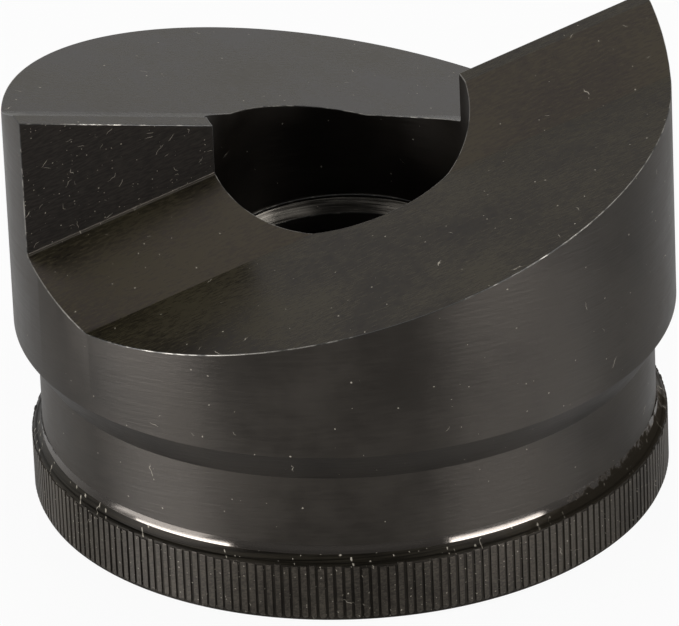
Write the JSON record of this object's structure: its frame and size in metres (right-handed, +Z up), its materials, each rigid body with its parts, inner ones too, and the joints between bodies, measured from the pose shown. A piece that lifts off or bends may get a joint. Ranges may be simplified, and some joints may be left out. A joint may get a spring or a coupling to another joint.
{
  "type": "knockout punch",
  "caption": "Round steel punch for cutting a hole in sheet metal: a crown of ramped shearing wings, a relieved neck, a knurled flange and a threaded bore for the draw stud.",
  "frame": {"origin": "on the axis, in the flat bottom face of the flange", "axes": "+Z up the axis towards the crown, +X along the line of the tips, towards the tip of the wing on the -Y side"},
  "size_m": [0.0496, 0.0496, 0.0343],
  "materials": {
    "tool_steel": "satin black oxide over turned and milled tool steel"
  },
  "bodies": {
    "root": {"punch": "tool_steel"}
  },
  "joints": []
}
